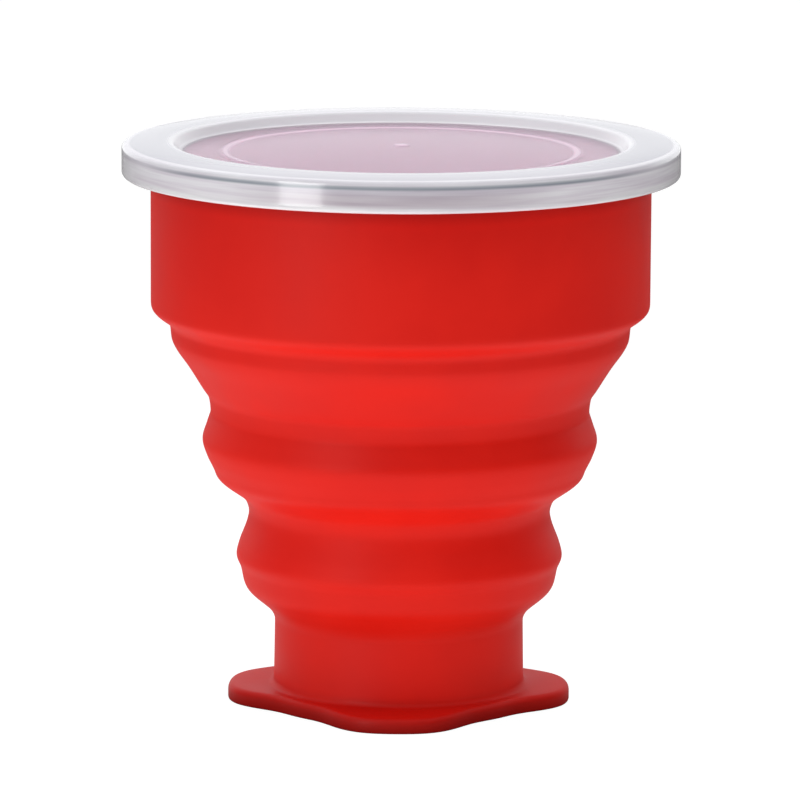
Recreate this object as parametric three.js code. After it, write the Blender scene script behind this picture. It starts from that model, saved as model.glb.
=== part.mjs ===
// A collapsible travel cup: one silicone moulding whose rings drop down around one another on thin
// folding webs, and a press-on lid. The cup stands on z = 0 with its axis along +Z. Millimetres.
import * as THREE from "three";

// Driving dimensions of the cup.
const SIDES = 48;
const ZONE_GAP = 0.3;
const RING_WALL = 2.0;
const WEB_WALL = 1.2;
const BAND_WALL = 2.2;

// Outline of the cup's outer wall from the base plate to the rim, as [height, radius].
const OUTER_WALL = [
  [2.5, 19.9], // the foot where it stands on the base plate
  [12.9, 19.75], // top of the foot
  [14.3, 20.25],
  [18.3, 24.35], // the lower web ends
  [19.3, 24.75],
  [21.5, 25.2],
  [23.3, 25.9], // the lower ring at its widest
  [25.3, 25.45],
  [28.3, 24.3],
  [30.3, 23.9], // lower waist
  [32.3, 24.45],
  [36.3, 29.15], // the middle web ends
  [37.3, 29.5],
  [39.3, 30.5],
  [42, 31.3], // the upper ring at its widest
  [44.3, 30.65],
  [46.3, 30.0], // upper waist
  [48.8, 30.3],
  [50.3, 31.25],
  [54, 33.55],
  [57.3, 35.8], // the upper web ends
  [58.3, 36.2],
  [60.3, 36.4], // ledge below the band
  [61.3, 37.1],
  [62.3, 38.6],
  [63.3, 39.4],
  [64.3, 39.45],
  [84.5, 39.45], // top of the band, under the lip
];

// Heights where one zone of the wall ends and the next begins.
const FOOT_TOP = 12.6;
const LOWER_RING_BOTTOM = 20.4;
const LOWER_RING_TOP = 27.3;
const UPPER_RING_BOTTOM = 38.3;
const UPPER_RING_TOP = 45.3;
const BAND_BOTTOM = 59.3;
const BAND_TOP = 84.5;

// The thickened lip around the mouth, which the lid snaps over.
const LIP_TOP = 87.6;
const LIP_RADIUS = 42.3;
const LIP_CHAMFER = 0.6;
const MOUTH_RADIUS = 37.25;

// The base plate, whose four rounded lobes are the tabs that pull the cup open.
const PLATE_THICKNESS = 2.5;
const PLATE_MEAN_RADIUS = 24.75;
const LOBE_SWING = 2.45;
const PLATE_EDGE = 0.8;
const PLATE_STEPS = 96;

// The lid.
const LID_RADIUS = 44;
const LID_TOP = 89.5;
const LID_EDGE = 0.8;
const SKIRT_BOTTOM = 84.2;
const SKIRT_INNER_RADIUS = 42.75;
const RECESS_RADIUS = 34.8;
const RECESS_RIM_RADIUS = 36;
const RECESS_FLOOR = 87.8;
const DOME_RADIUS = 28;
const DOME_TOP = 88.8;
const LID_WALL = 1.2;
const RIM_SEAT = 87.9;
const SEAL_RADIUS = 36.85;
const SEAL_BOTTOM = 85.5;

const silicone = new THREE.MeshStandardMaterial({
  color: 0xd9271e,
  roughness: 0.55,
  metalness: 0,
});
const frostedPlastic = new THREE.MeshStandardMaterial({
  color: 0xe0dce6,
  roughness: 0.3,
  metalness: 0,
});

// The outer wall's radius at one height, along the straight line between its two nearest points.
function outerRadius(height) {
  const above = OUTER_WALL.findIndex(([z]) => z >= height);
  const [highZ, highRadius] = OUTER_WALL[above];
  const [lowZ, lowRadius] = OUTER_WALL[Math.max(above - 1, 0)];
  const share = highZ > lowZ ? (height - lowZ) / (highZ - lowZ) : 0;
  return THREE.MathUtils.lerp(lowRadius, highRadius, share);
}

// A solid turned from an outline of [radius, height] points, which runs up the outside.
function turned(name, outline, material) {
  const points = outline.map(([radius, z]) => new THREE.Vector2(radius, z));
  const geometry = new THREE.LatheGeometry(points, SIDES);
  geometry.rotateX(Math.PI / 2);
  const mesh = new THREE.Mesh(geometry, material);
  mesh.name = name;
  return mesh;
}

// One zone of the cup's wall between two heights, half a gap short of each of its neighbours.
function wallZone(name, bottom, top, thickness) {
  const low = bottom + ZONE_GAP / 2;
  const high = top - ZONE_GAP / 2;
  const heights = [low, ...OUTER_WALL.map(([z]) => z).filter((z) => z > low && z < high), high];
  const outside = heights.map((z) => [outerRadius(z), z]);
  const inside = outside.map(([radius, z]) => [radius - thickness, z]).reverse();
  return turned(name, [...outside, ...inside, outside[0]], silicone);
}

// The lip is a plain ring with its outer edges broken.
function rimLip() {
  const bottom = BAND_TOP + ZONE_GAP / 2;
  const outline = [
    [MOUTH_RADIUS, bottom],
    [LIP_RADIUS - LIP_CHAMFER, bottom],
    [LIP_RADIUS, bottom + LIP_CHAMFER],
    [LIP_RADIUS, LIP_TOP - LIP_CHAMFER],
    [LIP_RADIUS - LIP_CHAMFER, LIP_TOP],
    [MOUTH_RADIUS, LIP_TOP],
    [MOUTH_RADIUS, bottom],
  ];
  return turned("rim_lip", outline, silicone);
}

// The plate's radius swings four times round between lobe and hollow, and lingers at both.
function plateRadius(angle) {
  const swing = Math.cos(4 * angle);
  return PLATE_MEAN_RADIUS + LOBE_SWING * (1.5 * swing - 0.5 * swing ** 3);
}

function basePlate() {
  const outline = Array.from({ length: PLATE_STEPS }, (_, step) => {
    const angle = (2 * Math.PI * step) / PLATE_STEPS;
    const radius = plateRadius(angle);
    return new THREE.Vector2(radius * Math.cos(angle), radius * Math.sin(angle));
  });
  const geometry = new THREE.ExtrudeGeometry(new THREE.Shape(outline), {
    depth: PLATE_THICKNESS - 2 * PLATE_EDGE,
    bevelThickness: PLATE_EDGE,
    bevelSize: PLATE_EDGE,
    bevelOffset: -PLATE_EDGE,
    bevelSegments: 2,
  });
  geometry.translate(0, 0, PLATE_EDGE);
  const mesh = new THREE.Mesh(geometry, silicone);
  mesh.name = "base_plate";
  return mesh;
}

// The lid: a skirt, a raised rim, a sunken ring with a low dome inside it, and a seal that enters the mouth.
function lid() {
  const outline = [
    [0, DOME_TOP - LID_WALL],
    [DOME_RADIUS, RECESS_FLOOR - LID_WALL],
    [SEAL_RADIUS - LID_WALL, RECESS_FLOOR - LID_WALL],
    [SEAL_RADIUS - LID_WALL, SEAL_BOTTOM],
    [SEAL_RADIUS, SEAL_BOTTOM],
    [SEAL_RADIUS, RIM_SEAT],
    [SKIRT_INNER_RADIUS, RIM_SEAT],
    [SKIRT_INNER_RADIUS, SKIRT_BOTTOM],
    [LID_RADIUS, SKIRT_BOTTOM],
    [LID_RADIUS, LID_TOP - LID_EDGE - ZONE_GAP],
    [LID_RADIUS - LID_EDGE, LID_TOP - ZONE_GAP],
    [RECESS_RIM_RADIUS, LID_TOP],
    [RECESS_RADIUS, RECESS_FLOOR],
    [DOME_RADIUS, RECESS_FLOOR],
    [0, DOME_TOP],
  ];
  return turned("lid", outline, frostedPlastic);
}

const cup = new THREE.Group();
cup.add(basePlate());
cup.add(wallZone("foot_wall", PLATE_THICKNESS + ZONE_GAP / 2, FOOT_TOP, BAND_WALL));
cup.add(wallZone("lower_web", FOOT_TOP, LOWER_RING_BOTTOM, WEB_WALL));
cup.add(wallZone("lower_ring", LOWER_RING_BOTTOM, LOWER_RING_TOP, RING_WALL));
cup.add(wallZone("middle_web", LOWER_RING_TOP, UPPER_RING_BOTTOM, WEB_WALL));
cup.add(wallZone("upper_ring", UPPER_RING_BOTTOM, UPPER_RING_TOP, RING_WALL));
cup.add(wallZone("upper_web", UPPER_RING_TOP, BAND_BOTTOM, WEB_WALL));
cup.add(wallZone("rim_band", BAND_BOTTOM, BAND_TOP, BAND_WALL));
cup.add(rimLip());
cup.add(lid());

export default cup;
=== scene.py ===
import math

import bpy
import numpy as np
from mathutils import Matrix, Vector


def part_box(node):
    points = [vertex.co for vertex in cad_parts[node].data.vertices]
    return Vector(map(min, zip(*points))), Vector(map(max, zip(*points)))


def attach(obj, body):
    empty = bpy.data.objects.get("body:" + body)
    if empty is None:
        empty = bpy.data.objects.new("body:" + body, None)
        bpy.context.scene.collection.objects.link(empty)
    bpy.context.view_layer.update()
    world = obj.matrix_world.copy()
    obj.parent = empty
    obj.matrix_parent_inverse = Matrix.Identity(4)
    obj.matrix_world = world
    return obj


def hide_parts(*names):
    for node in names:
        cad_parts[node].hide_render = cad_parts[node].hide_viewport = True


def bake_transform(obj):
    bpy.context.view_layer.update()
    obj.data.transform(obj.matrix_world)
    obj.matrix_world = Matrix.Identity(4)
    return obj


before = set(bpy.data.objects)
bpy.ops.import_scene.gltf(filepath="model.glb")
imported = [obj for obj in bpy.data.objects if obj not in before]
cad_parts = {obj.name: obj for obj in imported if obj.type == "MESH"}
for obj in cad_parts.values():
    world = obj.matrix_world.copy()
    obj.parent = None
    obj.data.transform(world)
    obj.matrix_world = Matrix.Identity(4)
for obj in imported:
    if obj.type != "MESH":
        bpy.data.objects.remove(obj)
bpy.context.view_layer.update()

MM = 0.001
ROUND_STEPS = 192

# The nodes of the cup's wall, from the foot up.
WALL_NODES = ["foot_wall", "lower_web", "lower_ring", "middle_web", "upper_ring", "upper_web", "rim_band"]


# ---------------------------------------------------------------- measuring the frame

def levels(node):
    """The heights of a turned node's outline, from the bottom up."""
    return np.unique([round(v.co.z, 5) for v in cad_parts[node].data.vertices])


def radii(node, level):
    """The smallest and the largest radius that a node's outline has at one of its heights."""
    found = [math.hypot(v.co.x, v.co.y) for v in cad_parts[node].data.vertices
             if abs(v.co.z - level) < 0.02 * MM]
    return min(found), max(found)


def seam(below, above):
    """The height halfway across the gap between two nodes of the wall."""
    return (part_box(below)[1].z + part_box(above)[0].z) / 2


# ---------------------------------------------------------------- outlines

def arc(centre, radius, start, end, steps=6):
    """Points of a circle's arc in the (radius, height) plane, with angles in degrees."""
    angles = np.radians(np.linspace(start, end, steps + 1))
    return [(centre[0] + radius * math.cos(a), centre[1] + radius * math.sin(a)) for a in angles]


def smooth_curve(heights, values, softness):
    """A monotone cubic through the points, softened over a short height, as a function of height."""
    slopes = np.diff(values) / np.diff(heights)
    tangents = np.concatenate([[slopes[0]], np.zeros(len(slopes) - 1), [slopes[-1]]])
    for i in range(1, len(slopes)):
        if slopes[i - 1] * slopes[i] > 0:
            tangents[i] = 2 * slopes[i - 1] * slopes[i] / (slopes[i - 1] + slopes[i])
    fine = np.arange(heights[0], heights[-1], 0.1 * MM)
    k = np.clip(np.searchsorted(heights, fine, side="right") - 1, 0, len(slopes) - 1)
    span = np.diff(heights)[k]
    t = (fine - heights[k]) / span
    curve = (values[k] * (1 + 2 * t) * (1 - t) ** 2 + tangents[k] * span * t * (1 - t) ** 2
             + values[k + 1] * t * t * (3 - 2 * t) + tangents[k + 1] * span * t * t * (t - 1))
    reach = np.arange(-30, 31) * 0.1 * MM
    weights = np.exp(-0.5 * (reach / softness) ** 2)
    padded = np.pad(curve, 30, mode="edge")
    soft = np.convolve(padded, weights / weights.sum(), mode="valid")
    return lambda z: np.interp(z, fine, soft)


def wall_curves():
    """The outer and the inner radius of the cup's wall, each as a function of height."""
    heights, outer, inner = [], [], []
    for node in WALL_NODES:
        for level in levels(node):
            low, high = radii(node, level)
            heights.append(level)
            inner.append(low)
            outer.append(high)
    heights = np.array(heights)
    return smooth_curve(heights, np.array(outer), 0.3 * MM), smooth_curve(heights, np.array(inner), 0.6 * MM)


outer_radius, inner_radius = wall_curves()


def wall_rows(bottom, top, step=0.25 * MM):
    """Evenly spaced heights from bottom to top."""
    return np.linspace(bottom, top, math.ceil((top - bottom) / step) + 1)


# ---------------------------------------------------------------- meshes

def surface(name, rows, closed):
    """A smooth mesh from rows of points round the axis. A row of one point is a pole."""
    points, faces, starts = [], [], []
    for row in rows:
        starts.append(len(points))
        points.extend(row)
    pairs = list(zip(range(len(rows)), range(1, len(rows))))
    if closed:
        pairs.append((len(rows) - 1, 0))
    for low, high in pairs:
        a, b = starts[low], starts[high]
        for i in range(ROUND_STEPS):
            j = (i + 1) % ROUND_STEPS
            if len(rows[low]) == 1:
                faces.append((a, b + j, b + i))
            elif len(rows[high]) == 1:
                faces.append((a + i, a + j, b))
            else:
                faces.append((a + i, a + j, b + j, b + i))
    mesh = bpy.data.meshes.new(name)
    mesh.from_pydata(points, [], faces)
    mesh.shade_smooth()
    mesh.set_sharp_from_angle(angle=math.radians(50))
    piece = bpy.data.objects.new(name, mesh)
    bpy.context.scene.collection.objects.link(piece)
    return piece


def ring_row(radius_at, z):
    """One row of points at height z, with the radius given as a function of the angle."""
    angles = [2 * math.pi * i / ROUND_STEPS for i in range(ROUND_STEPS)]
    return [(radius_at(a) * math.cos(a), radius_at(a) * math.sin(a), z) for a in angles]


def round_rows(outline):
    """One round row of points for each (radius, height), or a pole where the radius is nothing."""
    return [[(0, 0, z)] if radius < 1e-7 else ring_row(lambda a: radius, z) for radius, z in outline]


def turned(name, outline, closed=True):
    """A solid turned from (radius, height) points, listed up the outside and down the inside."""
    return surface(name, round_rows(outline), closed)


def wall_outline(bottom, top):
    """The outline of the wall between two heights, up the outside and down the inside."""
    rows = wall_rows(bottom, top)
    outside = [(outer_radius(z), z) for z in rows]
    inside = [(inner_radius(z), z) for z in reversed(rows)]
    return outside + inside


# ---------------------------------------------------------------- the cup

def wall_piece(name, below, node, above):
    return turned(name, wall_outline(seam(below, node), seam(node, above)))


def rim_piece():
    """The upright band and the lip around the mouth, as one turned solid."""
    bottom = seam("upper_web", "rim_band")
    lip_low, lip_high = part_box("rim_lip")
    band = outer_radius(lip_low.z)
    mouth = radii("rim_lip", levels("rim_lip")[0])[0]
    lip = lip_high.x
    crook, edge, soft = 0.8 * MM, 1.1 * MM, 0.9 * MM
    ledge = wall_rows(bottom, bottom + 6 * MM)
    band_heights = np.linspace(bottom + 6 * MM, lip_low.z - crook, 12)[1:-1]
    outline = [(outer_radius(z), z) for z in ledge]
    outline += [(outer_radius(z), z) for z in band_heights]
    outline += arc((band + crook, lip_low.z - crook), crook, 180, 90)
    outline += arc((lip - edge, lip_low.z + edge), edge, -90, 0)
    outline += arc((lip - edge, lip_high.z - edge), edge, 0, 90)
    outline += arc((mouth + soft, lip_high.z - soft), soft, 90, 180)
    outline += [(inner_radius(z), z) for z in reversed(band_heights)]
    outline += [(inner_radius(z), z) for z in reversed(ledge)]
    return turned("rim_band_visual", outline)


def foot_piece():
    """The foot wall, the cup's floor and the lobed base plate, as one solid."""
    plate_low, plate_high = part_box("base_plate")
    thickness = plate_high.z
    lobe = plate_high.x
    hollow = min(math.hypot(v.co.x, v.co.y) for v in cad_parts["base_plate"].data.vertices
                 if 0.2 * thickness < v.co.z < 0.8 * thickness)
    mean, swing = (lobe + hollow) / 2, (lobe - hollow) / 2

    def plate_radius(angle):
        wave = math.cos(4 * angle)
        return mean + swing * (1.5 * wave - 0.5 * wave ** 3)

    top = seam("foot_wall", "lower_web")
    foot = outer_radius(thickness + MM)
    well = inner_radius(thickness + 2 * MM)
    recess_depth, recess = 0.5 * MM, 0.72 * mean
    recess_round, recess_lip = 0.4 * MM, 0.3 * MM
    under_edge, edge, foot_fillet, well_fillet = 0.25 * MM, 1.1 * MM, 1.0 * MM, 1.8 * MM

    # The underside, from the middle of its shallow recess out to the plate's edge.
    underside = [(0, recess_depth), (recess * 0.5, recess_depth)]
    underside += arc((recess - recess_round, recess_depth - recess_round), recess_round, 90, 10, 3)
    underside += arc((recess + recess_lip, recess_lip), recess_lip, 190, 270, 3)
    rows = round_rows(underside)

    # The plate's rounded edge follows the lobes, and its top runs in to the foot.
    under = arc((-under_edge, under_edge), under_edge, -90, 0, 3)
    over = arc((-edge, thickness - edge), edge, 0, 90)
    for inset, z in under + over:
        rows.append(ring_row(lambda a: plate_radius(a) + inset, z))
    flat_end = foot + foot_fillet
    for share in (0.66, 0.33):
        rows.append(ring_row(lambda a: share * (plate_radius(a) - edge) + (1 - share) * flat_end, thickness))

    # The foot's wall, up the outside and down the inside to the cup's floor.
    rows += round_rows(arc((flat_end, thickness + foot_fillet), foot_fillet, 270, 180))
    wall = wall_rows(thickness + 2.5 * MM, top, 0.7 * MM)
    rows += round_rows([(outer_radius(z), z) for z in wall])
    rows += round_rows([(inner_radius(z), z) for z in reversed(wall)])
    rows += round_rows(arc((well - well_fillet, thickness + well_fillet), well_fillet, 0, -90, 8))
    rows += round_rows([(well * 0.5, thickness), (0, thickness)])
    return surface("foot_visual", rows, closed=False)


# ---------------------------------------------------------------- the lid

def lid_piece():
    """The lid: skirt, raised rim, sunken ring, ridge, low dome with a gate mark, and the seal."""
    (skirt_bottom, seal_bottom, recess_under, dome_under, recess_floor,
     seat, skirt_top, dome_top, shoulder, top) = levels("lid")
    skirt_inner, skirt = radii("lid", skirt_bottom)
    seal_inner, seal = radii("lid", seal_bottom)
    dome, recess = radii("lid", recess_floor)
    rim = radii("lid", top)[0]
    corner = skirt - radii("lid", shoulder)[1]
    inside_round, seat_round, shoulder_round, foot_round = 0.5 * MM, 0.4 * MM, 1.2 * MM, 0.8 * MM
    ridge, ridge_half_width = 0.18 * MM, 0.9 * MM
    nub = 1.3 * MM
    nub_height = 0.15 * nub

    def dome_height(radius, apex, foot):
        return foot + (apex - foot) * (1 - (radius / dome) ** 2)

    # The underside, from the middle out: the dome, the seal, the seat on the lip, and the skirt.
    seal_round, skirt_round = (seal - seal_inner) / 2, (skirt - skirt_inner) / 2
    outline = [(0, dome_under)]
    outline += [(r, dome_height(r, dome_under, recess_under)) for r in np.linspace(0.1, 1, 8) * dome]
    outline += arc((seal_inner - inside_round, recess_under - inside_round), inside_round, 90, 0, 4)
    outline += arc((seal - seal_round, seal_bottom + seal_round), seal_round, 180, 360, 8)
    outline += arc((seal + seat_round, seat - seat_round), seat_round, 180, 90, 4)
    outline += arc((skirt_inner - inside_round, seat - inside_round), inside_round, 90, 0, 4)
    outline += arc((skirt - skirt_round, skirt_bottom + skirt_round), skirt_round, 180, 360, 8)

    # The outside: up the skirt, over the rim, and down the recess's wall.
    outline += [(skirt, z) for z in np.linspace(skirt_bottom + 1 * MM, skirt_top - 0.3 * MM, 5)]
    outline += arc((skirt - corner, shoulder - corner), corner, 0, 80, 8)
    slope = math.degrees(math.atan2(top - recess_floor, rim - recess))
    set_back = math.tan(math.radians(slope / 2))
    over = (rim + shoulder_round * set_back, top - shoulder_round)
    into = (recess - foot_round * set_back, recess_floor + foot_round)
    outline += arc(over, shoulder_round, 90, 90 + slope, 6)
    outline += arc(into, foot_round, slope - 90, -90, 6)

    # The ridge, the dome, and the gate mark at its middle.
    for share in np.linspace(-1, 1, 9):
        outline.append((dome + 0.3 * MM - share * ridge_half_width,
                        recess_floor + ridge * (0.5 + 0.5 * math.cos(share * math.pi))))
    crown = [r * dome for r in np.linspace(0.94, 0.06, 14)]
    outline += [(r, dome_height(r, dome_top, recess_floor)) for r in crown]
    for angle in np.radians([0, 25, 50, 75]):
        outline.append((nub * math.cos(angle), dome_top + nub_height * math.sin(angle)))
    outline += [(0, dome_top + nub_height)]
    return turned("lid_visual", outline, closed=False)


# ---------------------------------------------------------------- materials

def material(name, base, roughness, **sockets):
    made = bpy.data.materials.new(name)
    made.use_nodes = True
    shader = made.node_tree.nodes["Principled BSDF"]
    shader.inputs["Base Color"].default_value = (*base, 1)
    shader.inputs["Roughness"].default_value = roughness
    for socket, value in sockets.items():
        shader.inputs[socket.replace("_", " ")].default_value = value
    return made


def noise(tree, place, scale, detail=2):
    made = tree.nodes.new("ShaderNodeTexNoise")
    made.inputs["Scale"].default_value = scale
    made.inputs["Detail"].default_value = detail
    tree.links.new(place, made.inputs["Vector"])
    return made.outputs["Fac"]


def spread(tree, value, low, high, to_low, to_high):
    """A value carried from one range to another, and held at the ends."""
    made = tree.nodes.new("ShaderNodeMapRange")
    made.interpolation_type = "SMOOTHSTEP"
    for socket, number in zip(("From Min", "From Max", "To Min", "To Max"), (low, high, to_low, to_high)):
        made.inputs[socket].default_value = number
    tree.links.new(value, made.inputs["Value"])
    return made.outputs["Result"]


def ramp(tree, value, *stops):
    """A colour ramp through (position, colour) stops."""
    made = tree.nodes.new("ShaderNodeValToRGB")
    stretch = made.color_ramp.elements
    while len(stretch) < len(stops):
        stretch.new(0.5)
    for element, (position, colour) in zip(stretch, stops):
        element.position = position
        element.color = (*colour, 1)
    tree.links.new(value, made.inputs["Fac"])
    return made.outputs["Color"]


def bump(tree, height, strength, depth):
    made = tree.nodes.new("ShaderNodeBump")
    made.inputs["Strength"].default_value = strength
    made.inputs["Distance"].default_value = depth
    tree.links.new(height, made.inputs["Height"])
    tree.links.new(made.outputs["Normal"], tree.nodes["Principled BSDF"].inputs["Normal"])


def distance(tree, place, along):
    """How far a point is from the origin, counting only the directions given as 1."""
    kept = tree.nodes.new("ShaderNodeVectorMath")
    kept.operation = "MULTIPLY"
    kept.inputs[1].default_value = along
    tree.links.new(place, kept.inputs[0])
    length = tree.nodes.new("ShaderNodeVectorMath")
    length.operation = "LENGTH"
    tree.links.new(kept.outputs["Vector"], length.inputs[0])
    return length.outputs["Value"]


def arithmetic(tree, operation, first, second=None):
    """A sum on one or two values. The second can be a plain number."""
    made = tree.nodes.new("ShaderNodeMath")
    made.operation = operation
    for entry, socket in zip((first, second), made.inputs):
        if isinstance(entry, float):
            socket.default_value = entry
        elif entry:
            tree.links.new(entry, socket)
    return made.outputs["Value"]


def blended(tree, kind, first, second, share=None):
    """Two colours mixed, by a share of the second where one is given and in full where not."""
    made = tree.nodes.new("ShaderNodeMix")
    made.data_type = "RGBA"
    made.blend_type = kind
    made.inputs["Factor"].default_value = 1
    if share:
        tree.links.new(share, made.inputs["Factor"])
    tree.links.new(first, made.inputs["A"])
    tree.links.new(second, made.inputs["B"])
    return made.outputs["Result"]


def silicone():
    """Satin red silicone with faint clouds and a fine grain, with painted shade on the plate and in the
    crease under the lip.
    """
    made = material("red_silicone", (0.8, 0.012, 0.006), 0.5, Specular_IOR_Level=0.13)
    tree = made.node_tree
    shader = tree.nodes["Principled BSDF"]
    place = tree.nodes.new("ShaderNodeTexCoord").outputs["Object"]
    clouds = noise(tree, place, 60, 3)
    tint = ramp(tree, clouds, (0.35, (0.79, 0.011, 0.005)), (0.65, (0.85, 0.014, 0.006)))
    height = distance(tree, place, (0, 0, 1))
    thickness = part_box("base_plate")[1].z
    radius = distance(tree, place, (1, 1, 0))
    lid_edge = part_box("lid")[0].z
    wall_inside, wall_outside = radii("rim_band", levels("rim_band")[-1])
    # Painted shade: the silicone below about twice the plate's thickness is darkened, standing in for the
    # cup's shadow on the plate.
    plate = ramp(tree, spread(tree, height, 0.6 * thickness, 1.8 * thickness, 0, 1),
                 (0, (0.66, 0.5, 0.5)), (1, (1, 1, 1)))
    # Painted shade: a dark band on the outside of the band, from 3 mm below the lid's skirt up into the
    # crease under the lip, standing in for the lid's contact shadow.
    rising = spread(tree, height, lid_edge - 3 * MM, lid_edge, 0, 1)
    ending = spread(tree, height, lid_edge + 0.1 * MM, lid_edge + 0.6 * MM, 1, 0)
    outside = spread(tree, radius, wall_inside + 0.8 * MM, wall_outside - 0.4 * MM, 0, 1)
    lip_shade_mask = arithmetic(tree, "MULTIPLY", arithmetic(tree, "MULTIPLY", rising, ending), outside)
    crook = ramp(tree, lip_shade_mask, (0, (1, 1, 1)), (1, (0.58, 0.4, 0.4)))
    # Both painted shades darken the red together.
    darker = blended(tree, "MULTIPLY", plate, crook)
    tree.links.new(blended(tree, "MULTIPLY", tint, darker), shader.inputs["Base Color"])
    tree.links.new(spread(tree, clouds, 0.3, 0.7, 0.46, 0.56), shader.inputs["Roughness"])
    bump(tree, noise(tree, place, 2600), 0.1, 0.02 * MM)
    return made


def lid_top_colour(tree, ring, milky, nearly):
    """The panel, painted pink for the cup's red light through it, the recess's wall, and the raised ring, in
    painted light and shade.
    """
    # Painted light: the panel's pink stands in for the red light that the cup sends up through it.
    panel, white, grey, pale = (1.0, 0.64, 0.87), (0.97, 0.95, 0.98), (0.39, 0.375, 0.45), (0.57, 0.54, 0.61)
    foot_shade, pale_foot, milk = (0.42, 0.36, 0.42), (1, 0.92, 0.96), (0.95, 0.80, 0.88)
    # Painted light: the recess's wall is a white highlight, and the raised ring is grey shade, greyer at the
    # sides than at the front and back. The wall's foot has a dark line of painted shade at the sides and is
    # pale at the front and back.
    side_shade = ramp(tree, ring, (0, panel), (0.10, foot_shade), (0.26, white), (0.7, white), (1, grey))
    front_back_shade = ramp(tree, ring, (0, panel), (0.10, pale_foot), (0.26, white), (0.7, white), (1, pale))
    plain = blended(tree, "MIX", side_shade, front_back_shade, nearly)
    return blended(tree, "MIX", plain, ramp(tree, milky, (0, milk), (1, milk)), milky)


def skirt_colour(tree, place, up, nearly, straight):
    """Up the skirt, in painted light: a highlighted lower edge, the lip's grey-pink shadow, and a dark
    corner line at the front and back.
    """
    # Painted light: a highlight on the lower edge and the red lip's grey-pink shadow seen through the skirt
    # at the front and back, with lit ends at the sides.
    shaded = [(0.04, (0.95, 0.93, 0.95)), (0.16, (0.64, 0.57, 0.62)), (0.45, (0.66, 0.60, 0.65)),
              (0.72, (0.72, 0.69, 0.75))]
    lit_ends = [(0.04, (0.97, 0.96, 0.97)), (0.16, (0.93, 0.89, 0.93)), (0.45, (0.95, 0.92, 0.96)),
                 (0.72, (0.95, 0.92, 0.96))]
    # Painted shade: a dark line in the top corner at the front and back, standing in for refraction there,
    # paler at the sides.
    corner_dark_line = [(0.82, (0.32, 0.35, 0.40)), (0.87, (0.45, 0.47, 0.52)), (0.92, (0.93, 0.91, 0.95))]
    pale_corner = [(0.82, (0.80, 0.77, 0.82)), (0.87, (0.85, 0.83, 0.88)), (0.92, (0.93, 0.91, 0.95))]
    lower = blended(tree, "MIX", ramp(tree, up, *lit_ends), ramp(tree, up, *shaded), straight)
    corner = blended(tree, "MIX", ramp(tree, up, *pale_corner), ramp(tree, up, *corner_dark_line), nearly)
    smooth = blended(tree, "MIX", lower, corner, spread(tree, up, 0.72, 0.82, 0, 1))

    # Faint flow lines that run round the skirt.
    stretched = tree.nodes.new("ShaderNodeMapping")
    stretched.inputs["Scale"].default_value = (45, 45, 1400)
    tree.links.new(place, stretched.inputs["Vector"])
    lines = noise(tree, stretched.outputs["Vector"], 1, 3)
    return blended(tree, "MULTIPLY", smooth, ramp(tree, lines, (0.35, (0.84, 0.80, 0.84)), (0.6, (1, 1, 1))))


def frosted():
    """Milky polypropylene: a clear panel with a milkier ridge and gate mark, and a solid ring and skirt."""
    made = material("frosted_plastic", (0.8, 0.78, 0.86), 0.24, IOR=1.49, Coat_Roughness=0.1)
    tree = made.node_tree
    shader = tree.nodes["Principled BSDF"]
    place = tree.nodes.new("ShaderNodeTexCoord").outputs["Object"]
    radius = distance(tree, place, (1, 1, 0))
    height = distance(tree, place, (0, 0, 1))
    facing = distance(tree, place, (0, 1, 0))
    low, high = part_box("lid")
    dome, recess = radii("lid", levels("lid")[4])
    inner, outer = radii("lid", low.z)

    # 1 where the skirt faces the front or the back, and 0 towards the sides.
    nearly = spread(tree, facing, 0.40 * outer, 0.80 * outer, 0, 1)
    straight = spread(tree, facing, 0.80 * outer, outer, 0, 1)

    # 0 on the panel and 1 on the raised ring, and the milky marks on the panel.
    ring = spread(tree, radius, recess - 1.2 * MM, recess + 2.8 * MM, 0, 1)
    off_ridge = arithmetic(tree, "ABSOLUTE", arithmetic(tree, "SUBTRACT", radius, dome - 0.3 * MM))
    on_ridge = spread(tree, off_ridge, 0.1 * MM, 0.9 * MM, 0.45, 0)
    on_gate = spread(tree, radius, 0.8 * MM, 1.8 * MM, 0.6, 0)
    milky = arithmetic(tree, "MAXIMUM", on_ridge, on_gate)

    up = spread(tree, height, low.z, high.z, 0, 1)
    outside = spread(tree, radius, inner - 0.2 * MM, inner + 0.3 * MM, 0, 1)
    top = lid_top_colour(tree, ring, milky, nearly)
    skirt = skirt_colour(tree, place, up, nearly, straight)
    tree.links.new(blended(tree, "MIX", top, skirt, outside), shader.inputs["Base Color"])
    tree.links.new(ring, shader.inputs["Coat Weight"])
    clear = arithmetic(tree, "SUBTRACT", spread(tree, ring, 0, 0.2, 0.78, 0), milky)
    tree.links.new(clear, shader.inputs["Transmission Weight"])
    bump(tree, noise(tree, place, 220, 3), 0.1, 0.03 * MM)
    return made


# ---------------------------------------------------------------- putting the pieces on their bodies

def dress(piece, finish, slot, *nodes):
    piece.data.materials.append(finish)
    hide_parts(*nodes)
    return piece


red = silicone()
plastic = frosted()

foot = dress(foot_piece(), red, "silicone", "base_plate", "foot_wall")
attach(foot, "foot")

lower_ring = dress(wall_piece("lower_ring_visual", "lower_web", "lower_ring", "middle_web"),
                   red, "silicone", "lower_ring")
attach(lower_ring, "lower_ring")

upper_ring = dress(wall_piece("upper_ring_visual", "middle_web", "upper_ring", "upper_web"),
                   red, "silicone", "upper_ring")
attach(upper_ring, "upper_ring")

rim = dress(rim_piece(), red, "silicone", "rim_band", "rim_lip")
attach(rim, "rim")

lid = dress(lid_piece(), plastic, "lid_plastic", "lid")
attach(lid, "lid")

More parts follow.
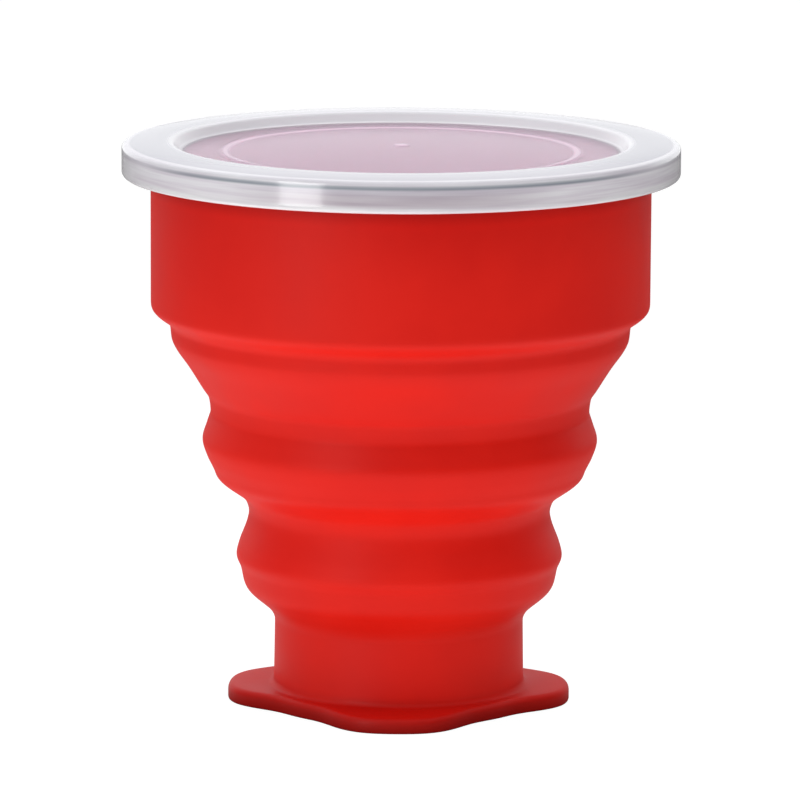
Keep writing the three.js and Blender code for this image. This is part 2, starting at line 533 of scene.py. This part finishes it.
# Each web: its node, the nodes below and above it, the bodies below and above it, and the share of its
# height meant to stay with the body below, which on the middle web reaches up to its waist. Each web is
# built between its nodes and left unattached; the bodies and the share are not used.
WEBS = [
    ("lower_web", "foot_wall", "lower_ring", "foot", "lower_ring", 0.1),
    ("middle_web", "lower_ring", "upper_ring", "lower_ring", "upper_ring", 0.3),
    ("upper_web", "upper_ring", "rim_band", "upper_ring", "rim", 0.1),
]
for node, below, above, body_below, body_above, still_share in WEBS:
    web = dress(wall_piece(node + "_visual", below, node, above), red, "silicone", node)
    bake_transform(web)


# ---------------------------------------------------------------- studio

def card(name, centre, width, height, radiance):
    """A soft light panel that faces the cup, with its strength given by how bright its face looks."""
    light = bpy.data.lights.new(name, "AREA")
    light.shape = "RECTANGLE"
    light.size, light.size_y = width, height
    light.energy = radiance * math.pi * width * height
    lamp = bpy.data.objects.new(name, light)
    lamp.location = centre
    lamp.rotation_euler = (Vector((0, 0, 0.05)) - Vector(centre)).to_track_quat("-Z", "Y").to_euler()
    lamp.visible_camera = False
    bpy.context.scene.collection.objects.link(lamp)
    return lamp


def surround():
    """A pale room that is dark in front near eye level, and darker on the right than on the left."""
    world = bpy.data.worlds.new("studio")
    bpy.context.scene.world = world
    world.use_nodes = True
    tree = world.node_tree
    axes = tree.nodes.new("ShaderNodeSeparateXYZ")
    tree.links.new(tree.nodes.new("ShaderNodeTexCoord").outputs["Generated"], axes.inputs["Vector"])
    behind = spread(tree, axes.outputs["Y"], 0.3, 0.95, 0.08, 1.0)
    above = spread(tree, axes.outputs["Z"], 0.35, 0.9, 0, 1.15)
    left = spread(tree, axes.outputs["X"], -0.9, 0.3, 0.22, 0)
    total = arithmetic(tree, "ADD", arithmetic(tree, "ADD", behind, above), left)
    tree.links.new(total, tree.nodes["Background"].inputs["Strength"])
    tree.nodes["Background"].inputs["Color"].default_value = (0.97, 0.98, 1, 1)


def table():
    """A wide white light table, bright enough to look plain white."""
    reach = 6
    mesh = bpy.data.meshes.new("table")
    mesh.from_pydata([(-reach, -reach, 0), (reach, -reach, 0), (reach, reach, 0), (-reach, reach, 0)],
                     [], [(0, 1, 2, 3)])
    mesh.materials.append(material("white_table", (0.22, 0.22, 0.22), 0.7, Specular_IOR_Level=0.1,
                                   Emission_Color=(1, 1, 1, 1), Emission_Strength=0.95))
    top = bpy.data.objects.new("table", mesh)
    top.location.z = -0.05 * MM
    bpy.context.scene.collection.objects.link(top)


def glow():
    """What the table sends up at the cup: bright from the front, dim from the sides and behind, and in
    shadow close to the base. The camera sees the plain table instead."""
    mesh = bpy.data.meshes.new("glow")
    rim_points = [(1.5 * math.cos(a), 1.5 * math.sin(a), 0) for a in np.radians(range(0, 360, 5))]
    mesh.from_pydata(rim_points, [], [range(len(rim_points))])
    made = material("lit_table", (0.1, 0.1, 0.1), 0.8, Specular_IOR_Level=0.1, Emission_Color=(1, 1, 1, 1))
    tree = made.node_tree
    place = tree.nodes.new("ShaderNodeTexCoord").outputs["Object"]
    axes = tree.nodes.new("ShaderNodeSeparateXYZ")
    tree.links.new(place, axes.inputs["Vector"])
    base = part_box("base_plate")[1].x
    front = spread(tree, axes.outputs["Y"], -0.12, 0.08, 1.15, 0.15)
    left = spread(tree, axes.outputs["X"], -0.15, 0.15, 0.4, 0.12)
    away = distance(tree, place, (1, 1, 0))
    shadow = spread(tree, away, 0.92 * base, 1.45 * base, 0.06, 1)
    fading = spread(tree, away, 0.07, 0.35, 1.1, 0.22)
    sent = arithmetic(tree, "MULTIPLY", shadow, fading)
    lit = arithmetic(tree, "MULTIPLY", arithmetic(tree, "ADD", front, left), sent)
    tree.links.new(lit, tree.nodes["Principled BSDF"].inputs["Emission Strength"])
    mesh.materials.append(made)
    disc = bpy.data.objects.new("glow", mesh)
    disc.visible_camera = False
    disc.visible_shadow = False
    disc.location.z = -0.03 * MM
    bpy.context.scene.collection.objects.link(disc)


def studio():
    surround()
    table()
    glow()
    card("left_window", (-0.62, -0.66, 0.42), 0.30, 0.55, 0.6)
    strip = card("strip_reflection", (-0.218, -0.279, 0.12), 0.11, 0.24, 4.5)
    strip.visible_diffuse = False
    strip.visible_transmission = False


def camera():
    """A long lens a metre in front, looking slightly down, and turned a little about its own axis."""
    data = bpy.data.cameras.new("camera")
    data.sensor_width = 36
    data.lens = 288.4
    data.clip_start, data.clip_end = 0.05, 50
    seen_from = bpy.data.objects.new("camera", data)
    around = math.radians(1)
    seen_from.location = (math.sin(around), -math.cos(around), 0.2253)
    tilt = Matrix.Rotation(math.radians(90 - 10.05), 4, "X") @ Matrix.Rotation(math.radians(0.3), 4, "Z")
    seen_from.rotation_euler = (Matrix.Rotation(around, 4, "Z") @ tilt).to_euler()
    bpy.context.scene.collection.objects.link(seen_from)
    bpy.context.scene.camera = seen_from


studio()
camera()
bpy.context.scene.view_settings.view_transform = "Standard"
